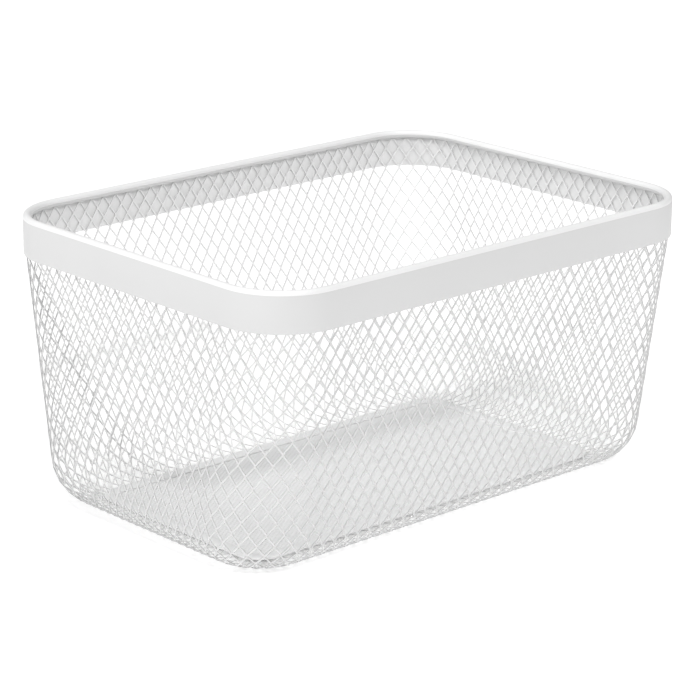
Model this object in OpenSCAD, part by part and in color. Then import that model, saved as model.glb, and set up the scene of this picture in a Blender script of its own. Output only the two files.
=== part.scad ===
// Open storage basket: a tapered tub of expanded steel mesh with a flat steel band
// round its mouth and a flat base clamped between two rings.
// The origin is on the ground, under the middle of the base. +X runs along the long side.

/* [Basket] */
// Length over the rim band
basket_length = 330; // [270:1:420]
// Width over the rim band
basket_width = 243; // [200:1:330]
// Height from the ground to the top of the rolled lip
basket_height = 170; // [110:1:240]
// Corner radius at the outside of the rim band
corner_radius = 39; // [34:1:60]

/* [Rim] */
// Height of the band, from the top of its lip to its lower edge
band_height = 23.5; // [16:0.5:40]
// Thickness of the band's steel strip
band_sheet = 0.8; // [0.5:0.1:1.2]
// Diameter of the round hoop that the lip is rolled round
wire_diameter = 3.2; // [2.4:0.1:4.5]
// Room between the hoop and the inside of the lip
roll_gap = 0.1; // [0.05:0.05:0.3]
// Angle at which the rolled lip stops, from the outer face over the top and down again
roll_end_angle = 250; // [220:1:258]

/* [Side mesh] */
// Thickness of the mesh across its strands
mesh_sheet = 1.2; // [0.8:0.1:1.6]
// Room between the mesh and the inside of the band
band_gap = 0.1; // [0.05:0.05:0.4]
// How far each short wall leans in from the band's lower edge to the ground
end_lean = 0.5; // [0:0.5:12]
// How far each long wall leans in from the band's lower edge to the ground
side_lean = 20.5; // [0:0.5:30]
// Corner radius of the mesh at the ground, before the foot is rounded in
foot_corner_radius = 42; // [40:1:70]
// Radius of the rounded foot, to the middle of the mesh
foot_radius = 24; // [12:1:26]

/* [Base] */
// Gap from the end of the rounded foot to the outer edge of the upper ring
ring_inset = 3; // [1:0.5:10]
// Distance from the outer edge of the upper ring to the outer edge of the lower ring
under_ring_setback = 6; // [0:0.5:8]
// Width of the clamping rings
ring_width = 8; // [5:0.5:12]
// Thickness of the clamping rings
ring_sheet = 0.8; // [0.6:0.1:1.5]
// Thickness of the base sheet
base_sheet = 0.8; // [0.5:0.1:1.5]
// Distance from the outer edge of the upper ring to the edge of the base sheet
base_edge_cover = 2.5; // [0.5:0.5:3]
// Distance that the mesh reaches in over the lower ring
flange_grip = 4; // [2:0.5:5]

/* [Hidden] */
$fn = 64;

// Rolled lip of the band
lip_radius = wire_diameter / 2 + roll_gap + band_sheet;
lip_centre_z = basket_height - lip_radius;

// Middle surface of the mesh, measured in from the band's outer face
mesh_inset = band_sheet + band_gap + mesh_sheet / 2;
mesh_top_z = lip_centre_z - wire_diameter / 2 - roll_gap;
band_foot_z = basket_height - band_height;

// Stack of the base, from the ground up
flange_z = ring_sheet + mesh_sheet / 2;
base_z = ring_sheet + mesh_sheet;
top_ring_z = base_z + base_sheet;

// Section of the mesh: upright behind the band, a leaning wall, a rounded foot, and a flat flange
foot_centre_z = flange_z + foot_radius;
wall_run = mesh_top_z - foot_centre_z;
foot_run = foot_radius * PI / 2;
flange_run = ring_inset + under_ring_setback + flange_grip;

// Middle surface of the mesh where the rounded foot ends
foot_half_x = basket_length / 2 - mesh_inset - end_lean - foot_radius;
foot_half_y = basket_width / 2 - mesh_inset - side_lean - foot_radius;
foot_end_radius = foot_corner_radius - foot_radius;

// Corner radius that is left where a wall takes up nearly all of its corner
smallest_fillet = 1;

// Outline of the upper ring
ring_length = 2 * (foot_half_x - ring_inset);
ring_depth = 2 * (foot_half_y - ring_inset);
ring_radius = foot_end_radius - ring_inset;

// Steps of the side mesh round each corner and round its foot
corner_steps = 10;
foot_steps = 8;

// Distances down the section of the mesh: its upper edge, the band's lower edge, its foot and its inner edge
mesh_runs = concat(
    [0, mesh_top_z - band_foot_z],
    [for (k = [0:foot_steps]) wall_run + foot_run * k / foot_steps],
    [wall_run + foot_run + flange_run]
);

// Turn of the section at a run: 0 on the wall, 90 on the flange
function section_turn(run) =
    run <= wall_run ? 0
    : run < wall_run + foot_run ? (run - wall_run) / foot_radius * 180 / PI
    : 90;

// How far the section has come in from the wall at a run
function section_inset(run) =
    foot_radius * (1 - cos(section_turn(run))) + max(0, run - wall_run - foot_run);

// Height of the middle surface at a run
function section_z(run) =
    run <= wall_run ? mesh_top_z - run : foot_centre_z - foot_radius * sin(section_turn(run));

// Points round a rounded rectangle, from the +X side towards +Y
function outline(half_x, half_y, radius) = [
    for (corner = [0:3], k = [0:corner_steps])
        let (
            angle = 90 * (corner + k / corner_steps),
            side_x = corner == 0 || corner == 3 ? 1 : -1,
            side_y = corner < 2 ? 1 : -1
        )
        [
            side_x * (half_x - radius) + radius * cos(angle),
            side_y * (half_y - radius) + radius * sin(angle)
        ]
];

// Level ring of the mesh at a run, moved out from its middle surface
function mesh_ring(run, out) =
    let (
        turn = section_turn(run),
        z = section_z(run),
        lean = max(0, band_foot_z - z) / band_foot_z,
        inset = section_inset(run) - out * cos(turn),
        half_x = basket_length / 2 - mesh_inset - end_lean * lean - inset,
        half_y = basket_width / 2 - mesh_inset - side_lean * lean - inset,
        radius = corner_radius - mesh_inset + (foot_corner_radius - corner_radius) * lean - inset
    )
    [
        for (p = outline(half_x, half_y, max(smallest_fillet, radius)))
            [p.x, p.y, z - out * sin(turn)]
    ];

// Rings down the outer face of the mesh and up its inner face again
mesh_rings = concat(
    [for (run = mesh_runs) mesh_ring(run, mesh_sheet / 2)],
    [for (k = [1:len(mesh_runs)]) mesh_ring(mesh_runs[len(mesh_runs) - k], -mesh_sheet / 2)]
);

// Rounded rectangle with true arcs
module rounded_outline(length, depth, radius) {
    square([length, depth - 2 * radius], center = true);
    square([length - 2 * radius, depth], center = true);
    for (x = [-1, 1], y = [-1, 1])
        translate([x * (length / 2 - radius), y * (depth / 2 - radius)])
            circle(r = radius);
}

// Carries a flat section round a rounded rectangle. In the section x = 0 is the outline and y is up
module sweep_round(length, depth, radius) {
    for (turn = [0, 180])
        rotate([0, 0, turn]) {
            translate([length / 2, depth / 2 - radius, 0])
                rotate([90, 0, 0])
                    linear_extrude(depth - 2 * radius)
                        children();
            translate([-length / 2 + radius, depth / 2, 0])
                rotate([90, 0, 90])
                    linear_extrude(length - 2 * radius)
                        children();
            for (side = [0, 1])
                translate([(1 - 2 * side) * (length / 2 - radius), depth / 2 - radius, 0])
                    rotate([0, 0, 90 * side])
                        rotate_extrude(angle = 90)
                            translate([radius, 0])
                                children();
        }
}

// Rolled lip and flat skirt of the band, cut across
module band_section() {
    translate([-band_sheet, band_foot_z])
        square([band_sheet, lip_centre_z - band_foot_z]);
    translate([-lip_radius, lip_centre_z])
        difference() {
            circle(r = lip_radius);
            circle(r = lip_radius - band_sheet);
            polygon([
                [0, 0],
                2 * lip_radius * [cos(roll_end_angle), sin(roll_end_angle)],
                2 * lip_radius * [1, -2],
                [2 * lip_radius, 0]
            ]);
        }
}

module rim_band() {
    color("whitesmoke")
        sweep_round(basket_length, basket_width, corner_radius)
            band_section();
}

module rim_wire() {
    color("gainsboro")
        sweep_round(basket_length, basket_width, corner_radius)
            translate([-lip_radius, lip_centre_z])
                circle(d = wire_diameter);
}

// The mesh as a closed sheet as thick as the mesh is across its strands, without its openings
module side_mesh() {
    ring_count = len(mesh_rings);
    round_count = len(mesh_rings[0]);
    color("white")
        polyhedron(
            points = [for (ring = mesh_rings) each ring],
            faces = [
                for (i = [0:ring_count - 1], k = [0:round_count - 1])
                    let (
                        this_ring = i * round_count,
                        next_ring = (i + 1) % ring_count * round_count,
                        m = (k + 1) % round_count
                    )
                    [this_ring + k, this_ring + m, next_ring + m, next_ring + k]
            ],
            convexity = 6
        );
}

// Outline of the upper ring, moved in
module base_outline(inset) {
    rounded_outline(
        ring_length - 2 * inset,
        ring_depth - 2 * inset,
        max(smallest_fillet, ring_radius - inset)
    );
}

module clamping_ring(setback) {
    linear_extrude(ring_sheet)
        difference() {
            base_outline(setback);
            base_outline(setback + ring_width);
        }
}

module base_top_ring() {
    color("whitesmoke")
        translate([0, 0, top_ring_z])
            clamping_ring(0);
}

module base_under_ring() {
    color("gainsboro")
        clamping_ring(under_ring_setback);
}

module base_sheet_panel() {
    color("white")
        translate([0, 0, base_z])
            linear_extrude(base_sheet)
                base_outline(base_edge_cover);
}

rim_band();
rim_wire();
side_mesh();
base_top_ring();
base_sheet_panel();
base_under_ring();
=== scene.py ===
"""White expanded-metal storage basket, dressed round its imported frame."""

import math

import bmesh
import bpy
from mathutils import Matrix, Vector


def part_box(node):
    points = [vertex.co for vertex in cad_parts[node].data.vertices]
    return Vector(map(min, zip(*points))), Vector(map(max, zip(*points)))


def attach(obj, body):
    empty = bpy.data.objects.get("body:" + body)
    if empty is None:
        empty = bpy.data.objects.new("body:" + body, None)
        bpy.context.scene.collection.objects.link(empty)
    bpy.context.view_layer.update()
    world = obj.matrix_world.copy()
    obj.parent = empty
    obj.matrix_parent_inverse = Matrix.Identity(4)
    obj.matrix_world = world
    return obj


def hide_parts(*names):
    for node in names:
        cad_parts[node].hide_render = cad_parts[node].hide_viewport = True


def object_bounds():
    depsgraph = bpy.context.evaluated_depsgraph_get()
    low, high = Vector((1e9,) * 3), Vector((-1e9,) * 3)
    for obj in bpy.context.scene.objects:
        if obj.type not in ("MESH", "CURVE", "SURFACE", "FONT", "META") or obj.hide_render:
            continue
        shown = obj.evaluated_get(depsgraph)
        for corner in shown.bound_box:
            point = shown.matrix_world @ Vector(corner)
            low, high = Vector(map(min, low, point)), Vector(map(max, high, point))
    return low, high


bl_info = {
    "name": "Expanded Metal Basket",
    "version": (1, 0, 0),
    "blender": (4, 5, 0),
    "location": "View3D > Sidebar > Basket",
    "description": "Builds a white expanded-metal storage basket and its studio",
    "category": "Add Mesh",
}

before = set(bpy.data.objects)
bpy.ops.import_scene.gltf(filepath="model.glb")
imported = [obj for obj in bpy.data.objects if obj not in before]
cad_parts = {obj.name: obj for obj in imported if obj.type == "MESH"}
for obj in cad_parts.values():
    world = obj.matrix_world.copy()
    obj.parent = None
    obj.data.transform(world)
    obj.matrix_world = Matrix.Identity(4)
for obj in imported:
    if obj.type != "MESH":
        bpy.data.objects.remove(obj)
CAD_LOW, CAD_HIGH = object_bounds()
MESH_LOW, MESH_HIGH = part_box("side_mesh")
LENGTH, WIDTH, HEIGHT = (high - low for low, high in zip(CAD_LOW, CAD_HIGH))
MM = 0.001
# Half the thickness of the frame's mesh where it lies flat between the rings
FLANGE_SKIN = 0.6 * MM
# Points of one piece that lie closer together than this are joined
WELD_REACH = 0.01 * MM
QUARTER_TURN = math.pi / 2


class BasketSizes(bpy.types.PropertyGroup):
    """Sizes of the basket's pieces that the frame's boxes don't give"""

    corner_radius: bpy.props.FloatProperty(
        name="Corner radius",
        description="Corner radius at the outside of the rim band",
        default=39 * MM,
        subtype="DISTANCE",
    )
    band_height: bpy.props.FloatProperty(
        name="Band height",
        description="Height of the band, from the top of its lip to its lower edge",
        default=23.5 * MM,
        subtype="DISTANCE",
    )
    band_sheet: bpy.props.FloatProperty(
        name="Band sheet",
        description="Thickness of the band's steel strip",
        default=0.8 * MM,
        subtype="DISTANCE",
    )
    lip_radius: bpy.props.FloatProperty(
        name="Lip radius",
        description="Outer radius of the rolled lip",
        default=2.5 * MM,
        subtype="DISTANCE",
    )
    lip_turn: bpy.props.FloatProperty(
        name="Lip turn",
        description="Angle through which the lip is rolled, over the top and back under",
        default=math.radians(250),
        subtype="ANGLE",
    )
    mesh_sheet: bpy.props.FloatProperty(
        name="Mesh sheet",
        description="Thickness of the mesh across its strands",
        default=0.5 * MM,
        subtype="DISTANCE",
    )
    mesh_inset: bpy.props.FloatProperty(
        name="Mesh inset",
        description="From the band's outer face to the middle of the mesh",
        default=1.5 * MM,
        subtype="DISTANCE",
    )
    lip_standoff: bpy.props.FloatProperty(
        name="Lip standoff",
        description="How much further from the band the mesh stands under the lip than lower down",
        default=0.8 * MM,
        subtype="DISTANCE",
    )
    strand_width: bpy.props.FloatProperty(
        name="Strand width",
        description="Width of one strand of the mesh",
        default=0.45 * MM,
        subtype="DISTANCE",
    )
    bond_reach: bpy.props.FloatProperty(
        name="Bond reach",
        description="How much longer than a plain crossing each bond of the mesh is, at either end",
        default=0.7 * MM,
        subtype="DISTANCE",
    )
    strand_tilt: bpy.props.FloatProperty(
        name="Strand tilt",
        description="How far the sides of each bond stand out of and into the wall",
        default=0.1 * MM,
        subtype="DISTANCE",
    )
    diamonds_round: bpy.props.IntProperty(
        name="Diamonds round",
        description="Diamonds in one row round the basket",
        default=120,
    )
    diamonds_down: bpy.props.IntProperty(
        name="Diamonds down",
        description="Diamonds from the rim down the wall and in under the base",
        default=14,
    )
    end_lean: bpy.props.FloatProperty(
        name="End lean",
        description="How far each short wall leans in from the band's lower edge to the ground",
        default=0.5 * MM,
        subtype="DISTANCE",
    )
    side_lean: bpy.props.FloatProperty(
        name="Side lean",
        description="How far each long wall leans in from the band's lower edge to the ground",
        default=20.5 * MM,
        subtype="DISTANCE",
    )
    foot_corner_radius: bpy.props.FloatProperty(
        name="Foot corner radius",
        description="Corner radius of the mesh at the ground, before the foot is rounded in",
        default=42 * MM,
        subtype="DISTANCE",
    )
    foot_radius: bpy.props.FloatProperty(
        name="Foot radius",
        description="Radius of the rounded foot, to the middle of the mesh",
        default=24 * MM,
        subtype="DISTANCE",
    )
    ring_inset: bpy.props.FloatProperty(
        name="Ring inset",
        description="Gap from the end of the rounded foot to the outer edge of the upper ring",
        default=3 * MM,
        subtype="DISTANCE",
    )
    under_ring_setback: bpy.props.FloatProperty(
        name="Under ring setback",
        description="Distance from the outer edge of the upper ring to the outer edge of the lower ring",
        default=6 * MM,
        subtype="DISTANCE",
    )
    flange_grip: bpy.props.FloatProperty(
        name="Flange grip",
        description="Distance that the mesh reaches in over the lower ring",
        default=4 * MM,
        subtype="DISTANCE",
    )
    ring_width: bpy.props.FloatProperty(
        name="Ring width",
        description="Width of the clamping rings",
        default=8 * MM,
        subtype="DISTANCE",
    )
    base_diamond_length: bpy.props.FloatProperty(
        name="Base diamond length",
        description="Length of one diamond of the base's fine mesh",
        default=4.2 * MM,
        subtype="DISTANCE",
    )
    base_diamond_width: bpy.props.FloatProperty(
        name="Base diamond width",
        description="Width of one diamond of the base's fine mesh",
        default=2.8 * MM,
        subtype="DISTANCE",
    )
    base_strand_width: bpy.props.FloatProperty(
        name="Base strand width",
        description="Width of one strand of the base's fine mesh",
        default=1.7 * MM,
        subtype="DISTANCE",
    )


class BasketFinish(bpy.types.PropertyGroup):
    """Colour and surface of the powder coat, and the painted shade on the basket's outside"""

    coat_colour: bpy.props.FloatVectorProperty(
        name="Coat colour",
        description="Colour of the powder coat",
        default=(0.93, 0.93, 0.93),
        size=3,
        subtype="COLOR",
    )
    # Painted shade: the coat on the basket's outside is made darker than on its inside, standing in for
    # the outside getting less light
    outside_painted_shade: bpy.props.FloatProperty(
        name="Outside shade",
        description="Shade of the coat on the basket's outside, beside that of its inside",
        default=0.79,
        subtype="FACTOR",
    )
    coat_roughness: bpy.props.FloatProperty(
        name="Coat roughness",
        description="Roughness of the satin powder coat",
        default=0.42,
        subtype="FACTOR",
    )
    coat_ripple: bpy.props.FloatProperty(
        name="Coat ripple",
        description="Strength of the powder coat's fine orange-peel ripple",
        default=0.12,
        subtype="FACTOR",
    )


class BasketStudio(bpy.types.PropertyGroup):
    """Camera, lights and floor"""

    azimuth: bpy.props.FloatProperty(
        name="Azimuth",
        description="Direction of the camera round the basket, from +X towards +Y",
        default=math.radians(-132.582),
        subtype="ANGLE",
    )
    elevation: bpy.props.FloatProperty(
        name="Elevation",
        description="Height of the camera over the horizon",
        default=math.radians(17.612),
        subtype="ANGLE",
    )
    roll: bpy.props.FloatProperty(
        name="Roll",
        description="Turn of the camera about its own axis",
        default=math.radians(0.334),
        subtype="ANGLE",
    )
    distance: bpy.props.FloatProperty(
        name="Distance",
        description="Distance from the camera to the point that it looks at",
        default=1.6572,
        subtype="DISTANCE",
    )
    lens: bpy.props.FloatProperty(
        name="Lens",
        description="Focal length on a 36 mm sensor, in millimetres",
        default=144.57,
    )
    target: bpy.props.FloatVectorProperty(
        name="Target",
        description="Point that the camera looks at",
        default=(3.007 * MM, 4.453 * MM, 78.327 * MM),
        size=3,
        subtype="TRANSLATION",
    )
    key_power: bpy.props.FloatProperty(
        name="Key power",
        description="Power of the wide light that shines on the short wall",
        default=1.25,
    )
    front_power: bpy.props.FloatProperty(
        name="Front power",
        description="Power of the narrow light that shines on the long wall",
        default=1.15,
    )
    top_power: bpy.props.FloatProperty(
        name="Top power",
        description="Power of the wide light straight above",
        default=1.1,
    )
    room_glow: bpy.props.FloatProperty(
        name="Room glow",
        description="Strength of the white room's light, from all sides",
        default=0.15,
    )
    floor_glow: bpy.props.FloatProperty(
        name="Floor glow",
        description="Strength of the light that the floor gives off",
        default=0.25,
    )


class Value:
    """One socket of a material, with arithmetic that adds Math nodes"""

    def __init__(self, finish, socket):
        self.finish = finish
        self.socket = socket

    def maths(self, operation, first, second):
        node = self.finish.add("ShaderNodeMath", {"operation": operation}, {0: first, 1: second})
        return Value(self.finish, node.outputs[0])

    def __radd__(self, other):
        return self.maths("ADD", other, self)

    def __sub__(self, other):
        return self.maths("SUBTRACT", self, other)

    def __rmul__(self, other):
        return self.maths("MULTIPLY", other, self)


class Finish:
    """A procedural material under construction"""

    def __init__(self, name):
        self.material = bpy.data.materials.new(name)
        self.material.use_nodes = True
        self.tree = self.material.node_tree
        self.shader = self.tree.nodes["Principled BSDF"]

    def add(self, kind, settings=None, sockets=None):
        node = self.tree.nodes.new(kind)
        for name, value in (settings or {}).items():
            setattr(node, name, value)
        for key, value in (sockets or {}).items():
            self.feed(node.inputs[key], value)
        return node

    def feed(self, socket, value):
        if isinstance(value, Value):
            self.tree.links.new(value.socket, socket)
        elif isinstance(value, bpy.types.NodeSocket):
            self.tree.links.new(value, socket)
        else:
            socket.default_value = value

    def noise(self, scale, detail=2):
        place = self.add("ShaderNodeTexCoord").outputs["Object"]
        sockets = {"Vector": place, "Scale": scale, "Detail": detail}
        return Value(self, self.add("ShaderNodeTexNoise", {}, sockets).outputs["Fac"])

    def blend(self, mask, first, second):
        node = self.add("ShaderNodeMix", {"data_type": "RGBA"})
        self.feed(node.inputs["Factor"], mask)
        self.feed([s for s in node.inputs if s.name == "A" and s.type == "RGBA"][0], first)
        self.feed([s for s in node.inputs if s.name == "B" and s.type == "RGBA"][0], second)
        return [s for s in node.outputs if s.type == "RGBA"][0]

    def surface(self, **inputs):
        for name, value in inputs.items():
            self.feed(self.shader.inputs[name.replace("_", " ").title()], value)


def settings():
    scene = bpy.context.scene
    return scene.basket_sizes, scene.basket_finish, scene.basket_studio


def powder_coat(name, shade=1.0):
    """Satin powder coat: a fine orange-peel ripple, and a colour and gloss that drift a little"""
    look = settings()[1]
    drift_scale = 14
    ripple_scale = 1100
    colour_drift = 0.03
    gloss_drift = 0.10
    ripple_depth = 0.02 * MM
    finish = Finish(name)
    drift = finish.noise(drift_scale)
    ripple = finish.noise(ripple_scale)
    # A shade below 1 gives a darker copy of the coat, used as painted shade on the basket's outside
    light = [channel * shade for channel in look.coat_colour] + [1]
    dark = [channel * shade * (1 - 2 * colour_drift) for channel in look.coat_colour] + [1]
    sockets = {"Strength": look.coat_ripple, "Distance": ripple_depth, "Height": ripple}
    bump = finish.add("ShaderNodeBump", {}, sockets)
    finish.surface(
        base_color=finish.blend(drift, dark, light),
        roughness=look.coat_roughness + gloss_drift * (drift - 0.5),
        normal=bump.outputs["Normal"],
    )
    return finish.material


def drawn_wire(name):
    """Bare drawn steel, with fine streaks in its gloss"""
    streak_scale = 400
    finish = Finish(name)
    streak = finish.noise(streak_scale, 3)
    finish.surface(
        base_color=finish.blend(streak, (0.48, 0.48, 0.48, 1), (0.62, 0.62, 0.63, 1)),
        metallic=1.0,
        roughness=0.28 + 0.2 * streak,
    )
    return finish.material


def wear(piece, material):
    """Gives a piece or a node one material"""
    piece.data.materials.clear()
    piece.data.materials.append(material)


def add_piece(name, mesh_tool, material, slot, *nodes):
    """Makes a bmesh into a piece that stands for some of the frame's nodes"""
    data = bpy.data.meshes.new(name)
    mesh_tool.to_mesh(data)
    mesh_tool.free()
    piece = bpy.data.objects.new(name, data)
    bpy.context.scene.collection.objects.link(piece)
    wear(piece, material)
    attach(piece, "root")
    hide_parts(*nodes)
    return piece


def sweep_round(bm, half_length, half_width, radius, steps):
    """Carries edges that lie on the +X side, at the start of that side, once round a rounded rectangle"""
    ring = bm.edges[:]
    straights = (2 * (half_width - radius), 2 * (half_length - radius))
    heading = Vector((0, 1, 0))
    centre = Vector((half_length - radius, half_width - radius, 0))
    for corner in range(4):
        made = bmesh.ops.extrude_edge_only(bm, edges=ring)["geom"]
        points = [part for part in made if isinstance(part, bmesh.types.BMVert)]
        ring = [part for part in made if isinstance(part, bmesh.types.BMEdge)]
        bmesh.ops.translate(bm, verts=points, vec=heading * straights[corner % 2])
        turned = bmesh.ops.spin(
            bm,
            geom=points + ring,
            cent=centre,
            axis=(0, 0, 1),
            angle=QUARTER_TURN,
            steps=steps,
        )["geom_last"]
        ring = [part for part in turned if isinstance(part, bmesh.types.BMEdge)]
        heading = Matrix.Rotation(QUARTER_TURN, 3, "Z") @ heading
        centre += heading * straights[(corner + 1) % 2]
    bmesh.ops.remove_doubles(bm, verts=bm.verts, dist=WELD_REACH)


def finish_wall(piece, thickness, edge_radius):
    """Gives a sheet its thickness and eased edges"""
    smooth_angle = math.radians(40)
    ease_angle = math.radians(60)
    wall = piece.modifiers.new("wall", "SOLIDIFY")
    wall.thickness = thickness
    wall.offset = 0
    wall.use_even_offset = True
    if edge_radius:
        ease = piece.modifiers.new("ease", "BEVEL")
        ease.width = edge_radius
        ease.segments = 2
        ease.limit_method = "ANGLE"
        ease.angle_limit = ease_angle
    piece.data.shade_smooth()
    piece.data.set_sharp_from_angle(angle=smooth_angle)


def paint_outside_shade(piece, top):
    """Paints shade onto the outer skin of a sheet, below a height: a darker copy of the coat for the
    basket's outside, standing in for less light there
    """
    piece.data.materials.append(powder_coat(piece.name + "_outside", settings()[1].outside_painted_shade))
    for face in piece.data.polygons:
        if face.center.z < top:
            face.material_index = 1
    piece.modifiers["wall"].material_offset = -1


class BASKET_OT_rim_band(bpy.types.Operator):
    """Rolls the flat steel band round the mouth, with its lip"""

    bl_idname = "basket.rim_band"
    bl_label = "Rim Band"

    def execute(self, context):
        sizes = settings()[0]
        lip_steps = 28
        corner_steps = 20
        edge_radius = 0.2 * MM
        skin = sizes.band_sheet / 2
        start_y = -(WIDTH / 2 - sizes.corner_radius)
        bm = bmesh.new()
        shoulder_z = HEIGHT - sizes.lip_radius
        foot = bm.verts.new((LENGTH / 2 - skin, start_y, HEIGHT - sizes.band_height))
        shoulder = bm.verts.new((LENGTH / 2 - skin, start_y, shoulder_z))
        bm.edges.new((foot, shoulder))
        bmesh.ops.spin(
            bm,
            geom=[shoulder],
            cent=(LENGTH / 2 - sizes.lip_radius, start_y, shoulder_z),
            axis=(0, -1, 0),
            angle=sizes.lip_turn,
            steps=lip_steps,
        )
        bmesh.ops.remove_doubles(bm, verts=bm.verts, dist=WELD_REACH)
        sweep_round(bm, LENGTH / 2, WIDTH / 2, sizes.corner_radius, corner_steps)
        bmesh.ops.recalc_face_normals(bm, faces=bm.faces)
        material = powder_coat("rim_powder_coat")
        piece = add_piece("rim_band_rolled", bm, material, "rim_coat", "rim_band")
        finish_wall(piece, sizes.band_sheet, edge_radius)
        # Painted shade on the band's outer skin below the lip
        paint_outside_shade(piece, shoulder_z)
        return {"FINISHED"}


class BASKET_OT_rim_hoop(bpy.types.Operator):
    """Finishes the round hoop that lies inside the rolled lip"""

    bl_idname = "basket.rim_hoop"
    bl_label = "Rim Hoop"

    def execute(self, context):
        wear(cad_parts["rim_wire"], drawn_wire("drawn_wire"))
        return {"FINISHED"}


def wall_station(sizes, down):
    """Half length, half width, corner radius and height of the mesh's middle, a share down its section"""
    foot_top = MESH_LOW.z + FLANGE_SKIN + sizes.foot_radius
    wall_run = MESH_HIGH.z - foot_top
    foot_run = sizes.foot_radius * QUARTER_TURN
    flange_run = sizes.ring_inset + sizes.under_ring_setback + sizes.flange_grip
    run = down * (wall_run + foot_run + flange_run)
    turn = min(max(run - wall_run, 0) / sizes.foot_radius, QUARTER_TURN)
    inset = sizes.foot_radius * (1 - math.cos(turn)) + max(0, run - wall_run - foot_run)
    height = MESH_HIGH.z - run if run < wall_run else foot_top - sizes.foot_radius * math.sin(turn)
    band_foot = HEIGHT - sizes.band_height
    lean = max(0, band_foot - height) / band_foot
    inset += sizes.lip_standoff * max(0, height - band_foot) / (MESH_HIGH.z - band_foot)
    half_x = LENGTH / 2 - sizes.mesh_inset - sizes.end_lean * lean - inset
    half_y = WIDTH / 2 - sizes.mesh_inset - sizes.side_lean * lean - inset
    spread = sizes.foot_corner_radius - sizes.corner_radius
    radius = sizes.corner_radius - sizes.mesh_inset + spread * lean - inset
    return half_x, half_y, radius, height


def outline_point(half_x, half_y, radius, share, shares):
    """Point at a share of the way round a rounded rectangle, from the middle of the +X side"""
    flat_x = half_x - radius
    flat_y = half_y - radius
    corners = ((1, 1), (-1, 1), (-1, -1), (1, -1))
    for corner, (side_x, side_y) in enumerate(corners):
        first, arc, second = shares[corner % 2]
        middle = Vector((side_x * flat_x, side_y * flat_y))
        before = Vector((side_x, 0)) if corner % 2 == 0 else Vector((0, side_y))
        after = Vector((0, side_y)) if corner % 2 == 0 else Vector((side_x, 0))
        if share <= first:
            start = Vector((before.x * half_x, before.y * half_y))
            end = middle + before * radius
            return start.lerp(end, share / first)
        share -= first
        if share <= arc:
            angle = QUARTER_TURN * share / arc
            return middle + (before * math.cos(angle) + after * math.sin(angle)) * radius
        share -= arc
        if share <= second:
            start = middle + after * radius
            end = Vector((after.x * half_x, after.y * half_y))
            return start.lerp(end, share / second)
        share -= second
    return Vector((half_x, 0))


def lattice_sheet(columns, rows):
    """Flat unit grid of cells with a point at the middle of each, marked as a middle"""
    bm = bmesh.new()
    bmesh.ops.create_grid(bm, x_segments=columns, y_segments=rows, size=0.5)
    middle = bm.verts.layers.int.new("middle")
    for point in bmesh.ops.poke(bm, faces=bm.faces)["verts"]:
        point[middle] = 1
    return bm


def open_diamonds(bm, strand_width, bond_reach, strand_tilt, facing):
    """Joins the cells' triangles into diamonds and opens each one, leaving tilted strands between"""
    middle = bm.verts.layers.int["middle"]
    sides = [
        edge
        for edge in bm.edges
        if not edge.is_boundary and not any(point[middle] for point in edge.verts)
    ]
    bmesh.ops.dissolve_edges(bm, edges=sides, use_verts=False)
    holes = bm.faces[:]
    bmesh.ops.inset_individual(
        bm, faces=holes, thickness=strand_width / 2, use_even_offset=True
    )
    for hole in holes:
        centre = hole.calc_center_median()
        out = facing(centre)
        right = Vector((0, 0, 1)).cross(out) if abs(out.z) < 0.5 else Vector((1, 0, 0))
        corners = sorted(hole.verts, key=lambda point: (point.co - centre).dot(right))
        tips = corners[1:-1] if len(corners) == 4 else []
        for tip in tips:
            tip.co += (centre - tip.co).normalized() * bond_reach
        corners[0].co += out * strand_tilt
        corners[-1].co -= out * strand_tilt
    bmesh.ops.delete(bm, geom=holes, context="FACES_ONLY")


class BASKET_OT_side_mesh(bpy.types.Operator):
    """Wraps the expanded mesh round the basket and in under its base"""

    bl_idname = "basket.side_mesh"
    bl_label = "Side Mesh"

    def execute(self, context):
        sizes = settings()[0]
        seam_reach = 0.05 * MM
        bm = lattice_sheet(sizes.diamonds_round, sizes.diamonds_down)
        top_x, top_y, top_radius, _ = wall_station(sizes, 0)
        arc = QUARTER_TURN * top_radius
        whole = 4 * (top_x + top_y - 2 * top_radius + arc)
        half_end = (top_y - top_radius) / whole
        half_side = (top_x - top_radius) / whole
        shares = ((half_end, arc / whole, half_side), (half_side, arc / whole, half_end))
        for point in bm.verts:
            half_x, half_y, radius, height = wall_station(sizes, 0.5 - point.co.y)
            place = outline_point(half_x, half_y, radius, (point.co.x + 0.5) % 1, shares)
            point.co = (place.x, place.y, height)
        bmesh.ops.remove_doubles(bm, verts=bm.verts, dist=seam_reach)
        flat_x = top_x - top_radius
        flat_y = top_y - top_radius

        def facing(place):
            """Level direction out of the basket at a place on its wall"""
            near_x = min(max(place.x, -flat_x), flat_x)
            near_y = min(max(place.y, -flat_y), flat_y)
            return Vector((place.x - near_x, place.y - near_y, 0)).normalized()

        open_diamonds(bm, sizes.strand_width, sizes.bond_reach, sizes.strand_tilt, facing)
        bmesh.ops.recalc_face_normals(bm, faces=bm.faces)
        material = powder_coat("mesh_powder_coat")
        piece = add_piece("side_mesh_strands", bm, material, "mesh_coat", "side_mesh")
        finish_wall(piece, sizes.mesh_sheet, 0)
        # Painted shade on the mesh's outer skin
        paint_outside_shade(piece, HEIGHT)
        return {"FINISHED"}


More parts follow.
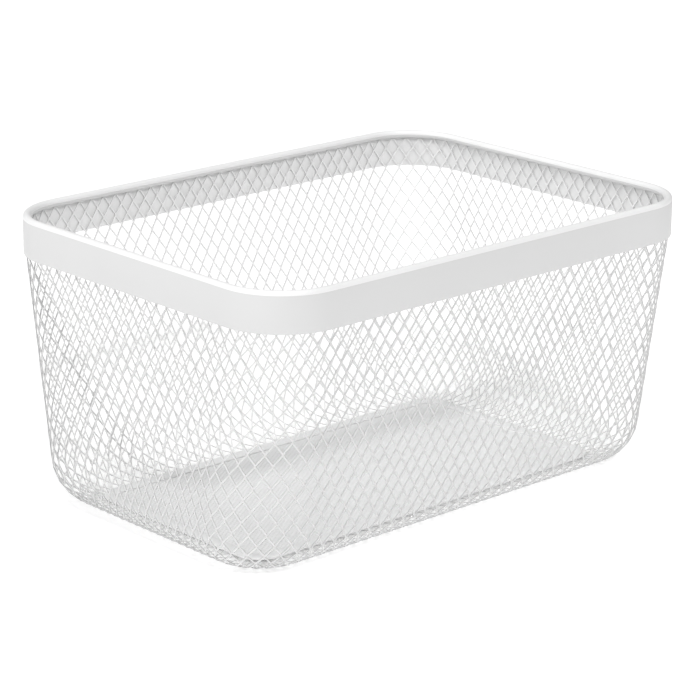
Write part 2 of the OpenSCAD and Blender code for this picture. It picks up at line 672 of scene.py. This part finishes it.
def rounded_plate(half_x, half_y, radius, z):
    """Flat rounded rectangle as one face"""
    corner_steps = 10
    bm = bmesh.new()
    start = bm.verts.new((half_x, -(half_y - radius), z))
    heading = Vector((0, 1, 0))
    centre = Vector((half_x - radius, half_y - radius, z))
    straights = (2 * (half_y - radius), 2 * (half_x - radius))
    last = start
    for corner in range(4):
        moved = bmesh.ops.extrude_vert_indiv(bm, verts=[last])["verts"]
        bmesh.ops.translate(bm, verts=moved, vec=heading * straights[corner % 2])
        turned = bmesh.ops.spin(
            bm,
            geom=moved,
            cent=centre,
            axis=(0, 0, 1),
            angle=QUARTER_TURN,
            steps=corner_steps,
        )["geom_last"]
        last = [part for part in turned if isinstance(part, bmesh.types.BMVert)][0]
        heading = Matrix.Rotation(QUARTER_TURN, 3, "Z") @ heading
        centre += heading * straights[(corner + 1) % 2]
    bmesh.ops.remove_doubles(bm, verts=bm.verts, dist=WELD_REACH)
    bmesh.ops.contextual_create(bm, geom=bm.edges[:])
    return bm


def ring_radius(sizes):
    """Corner radius at the outer edge of the upper ring"""
    return sizes.foot_corner_radius - sizes.foot_radius - sizes.ring_inset


class BASKET_OT_base_rings(bpy.types.Operator):
    """Presses the two flat rings that clamp the mesh and the base sheet"""

    bl_idname = "basket.base_rings"
    bl_label = "Base Rings"

    def execute(self, context):
        sizes = settings()[0]
        edge_radius = 0.15 * MM
        material = powder_coat("ring_powder_coat")
        setbacks = {"base_top_ring": 0, "base_under_ring": sizes.under_ring_setback}
        for node, setback in setbacks.items():
            low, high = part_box(node)
            bm = rounded_plate(high.x, high.y, ring_radius(sizes) - setback, (low.z + high.z) / 2)
            bm.normal_update()
            bmesh.ops.inset_region(
                bm,
                faces=bm.faces,
                thickness=sizes.ring_width,
                use_boundary=True,
                use_even_offset=True,
            )
            middle = min(bm.faces, key=lambda face: face.calc_center_median().length_squared)
            bmesh.ops.delete(bm, geom=[middle], context="FACES_ONLY")
            piece = add_piece(node + "_pressed", bm, material, "ring_coat", node)
            finish_wall(piece, high.z - low.z, edge_radius)
        return {"FINISHED"}


class BASKET_OT_base_sheet(bpy.types.Operator):
    """Pierces the fine mesh of the base sheet"""

    bl_idname = "basket.base_sheet"
    bl_label = "Base Sheet"

    def execute(self, context):
        sizes = settings()[0]
        low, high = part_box("base_sheet_panel")
        plain_edge = 3 * MM
        half_x = high.x - plain_edge
        half_y = high.y - plain_edge
        level = (low.z + high.z) / 2
        radius = ring_radius(sizes) - (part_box("base_top_ring")[1].x - half_x)
        columns = round(2 * half_x / sizes.base_diamond_length)
        rows = round(2 * half_y / sizes.base_diamond_width)
        bm = lattice_sheet(columns, rows)
        bmesh.ops.scale(bm, verts=bm.verts, vec=(2 * half_x, 2 * half_y, 1))
        bmesh.ops.translate(bm, verts=bm.verts, vec=(0, 0, level))
        beyond = []
        for face in bm.faces:
            place = face.calc_center_median()
            over_x = abs(place.x) - (half_x - radius)
            over_y = abs(place.y) - (half_y - radius)
            if over_x > 0 and over_y > 0 and math.hypot(over_x, over_y) > radius:
                beyond.append(face)
        bmesh.ops.delete(bm, geom=beyond, context="FACES")
        open_diamonds(bm, sizes.base_strand_width, 0, 0, lambda place: Vector((0, 0, 1)))
        bmesh.ops.recalc_face_normals(bm, faces=bm.faces)
        material = powder_coat("base_powder_coat")
        piece = add_piece("base_sheet_pierced", bm, material, "base_coat", "base_sheet_panel")
        finish_wall(piece, high.z - low.z, 0)
        return {"FINISHED"}


def add_light(name, power, spread, place):
    """Soft light that shines from a place towards the basket"""
    lamp = bpy.data.lights.new(name, "SUN")
    lamp.energy = power
    lamp.angle = spread
    holder = bpy.data.objects.new(name, lamp)
    holder.location = place
    holder.rotation_euler = Vector(place).to_track_quat("Z", "Y").to_euler()
    bpy.context.scene.collection.objects.link(holder)


class BASKET_OT_stage(bpy.types.Operator):
    """Sets the pale floor, the soft lights and the camera"""

    bl_idname = "basket.stage"
    bl_label = "Stage"

    def execute(self, context):
        studio = settings()[2]
        self.lay_floor(studio)
        self.light_room(studio)
        self.place_camera(studio)
        return {"FINISHED"}

    def lay_floor(self, studio):
        floor_reach = 12.0
        floor_gap = 0.2 * MM
        grain_scale = 60
        bm = bmesh.new()
        bmesh.ops.create_grid(bm, x_segments=8, y_segments=8, size=floor_reach)
        bmesh.ops.translate(bm, verts=bm.verts, vec=(0, 0, CAD_LOW[2] - floor_gap))
        data = bpy.data.meshes.new("floor")
        bm.to_mesh(data)
        bm.free()
        floor = bpy.data.objects.new("floor", data)
        bpy.context.scene.collection.objects.link(floor)
        paper = Finish("white_paper")
        grain = paper.noise(grain_scale)
        paper.surface(
            base_color=paper.blend(grain, (0.95, 0.95, 0.95, 1), (0.97, 0.97, 0.97, 1)),
            roughness=0.9,
            emission_color=(1, 1, 1, 1),
            emission_strength=studio.floor_glow,
        )
        wear(floor, paper.material)

    def light_room(self, studio):
        wide = math.radians(60)
        narrow = math.radians(5)
        world = bpy.data.worlds.new("white_room")
        world.use_nodes = True
        backdrop = world.node_tree.nodes["Background"]
        backdrop.inputs["Color"].default_value = (1, 1, 1, 1)
        backdrop.inputs["Strength"].default_value = studio.room_glow
        bpy.context.scene.world = world
        bpy.context.scene.view_settings.view_transform = "Standard"
        add_light("key_light", studio.key_power, wide, (-1.48, 0.40, 1.29))
        add_light("front_light", studio.front_power, narrow, (-0.62, -1.41, 1.27))
        add_light("top_light", studio.top_power, wide, (0.0, 0.0, 2.0))

    def place_camera(self, studio):
        level = math.cos(studio.elevation)
        back = Vector(
            (
                level * math.cos(studio.azimuth),
                level * math.sin(studio.azimuth),
                math.sin(studio.elevation),
            )
        )
        right = Vector((0, 0, 1)).cross(back).normalized()
        up = back.cross(right)
        turned_right = math.cos(studio.roll) * right + math.sin(studio.roll) * up
        turned_up = math.cos(studio.roll) * up - math.sin(studio.roll) * right
        axes = Matrix((turned_right, turned_up, back)).transposed().to_4x4()
        place = Vector(studio.target) + back * studio.distance
        lens = bpy.data.cameras.new("camera")
        lens.lens = studio.lens
        lens.sensor_width = 36
        camera = bpy.data.objects.new("camera", lens)
        camera.matrix_world = Matrix.Translation(place) @ axes
        bpy.context.scene.collection.objects.link(camera)
        bpy.context.scene.camera = camera


class BASKET_PT_panel(bpy.types.Panel):
    """Lists the basket's operators and settings"""

    bl_label = "Basket"
    bl_idname = "BASKET_PT_panel"
    bl_space_type = "VIEW_3D"
    bl_region_type = "UI"
    bl_category = "Basket"

    def draw(self, context):
        for operator in OPERATORS:
            self.layout.operator(operator.bl_idname)
        for group in settings():
            for name in group.__annotations__:
                self.layout.prop(group, name)


OPERATORS = (
    BASKET_OT_rim_band,
    BASKET_OT_rim_hoop,
    BASKET_OT_side_mesh,
    BASKET_OT_base_rings,
    BASKET_OT_base_sheet,
    BASKET_OT_stage,
)
GROUPS = {
    "basket_sizes": BasketSizes,
    "basket_finish": BasketFinish,
    "basket_studio": BasketStudio,
}


def register():
    for kind in (*GROUPS.values(), *OPERATORS, BASKET_PT_panel):
        bpy.utils.register_class(kind)
    for name, group in GROUPS.items():
        setattr(bpy.types.Scene, name, bpy.props.PointerProperty(type=group))


def unregister():
    for name in GROUPS:
        delattr(bpy.types.Scene, name)
    for kind in (BASKET_PT_panel, *reversed(OPERATORS), *reversed(GROUPS.values())):
        bpy.utils.unregister_class(kind)


def main():
    register()
    bpy.ops.basket.rim_band()
    bpy.ops.basket.rim_hoop()
    bpy.ops.basket.side_mesh()
    bpy.ops.basket.base_rings()
    bpy.ops.basket.base_sheet()
    bpy.ops.basket.stage()


if __name__ == "__main__":
    main()
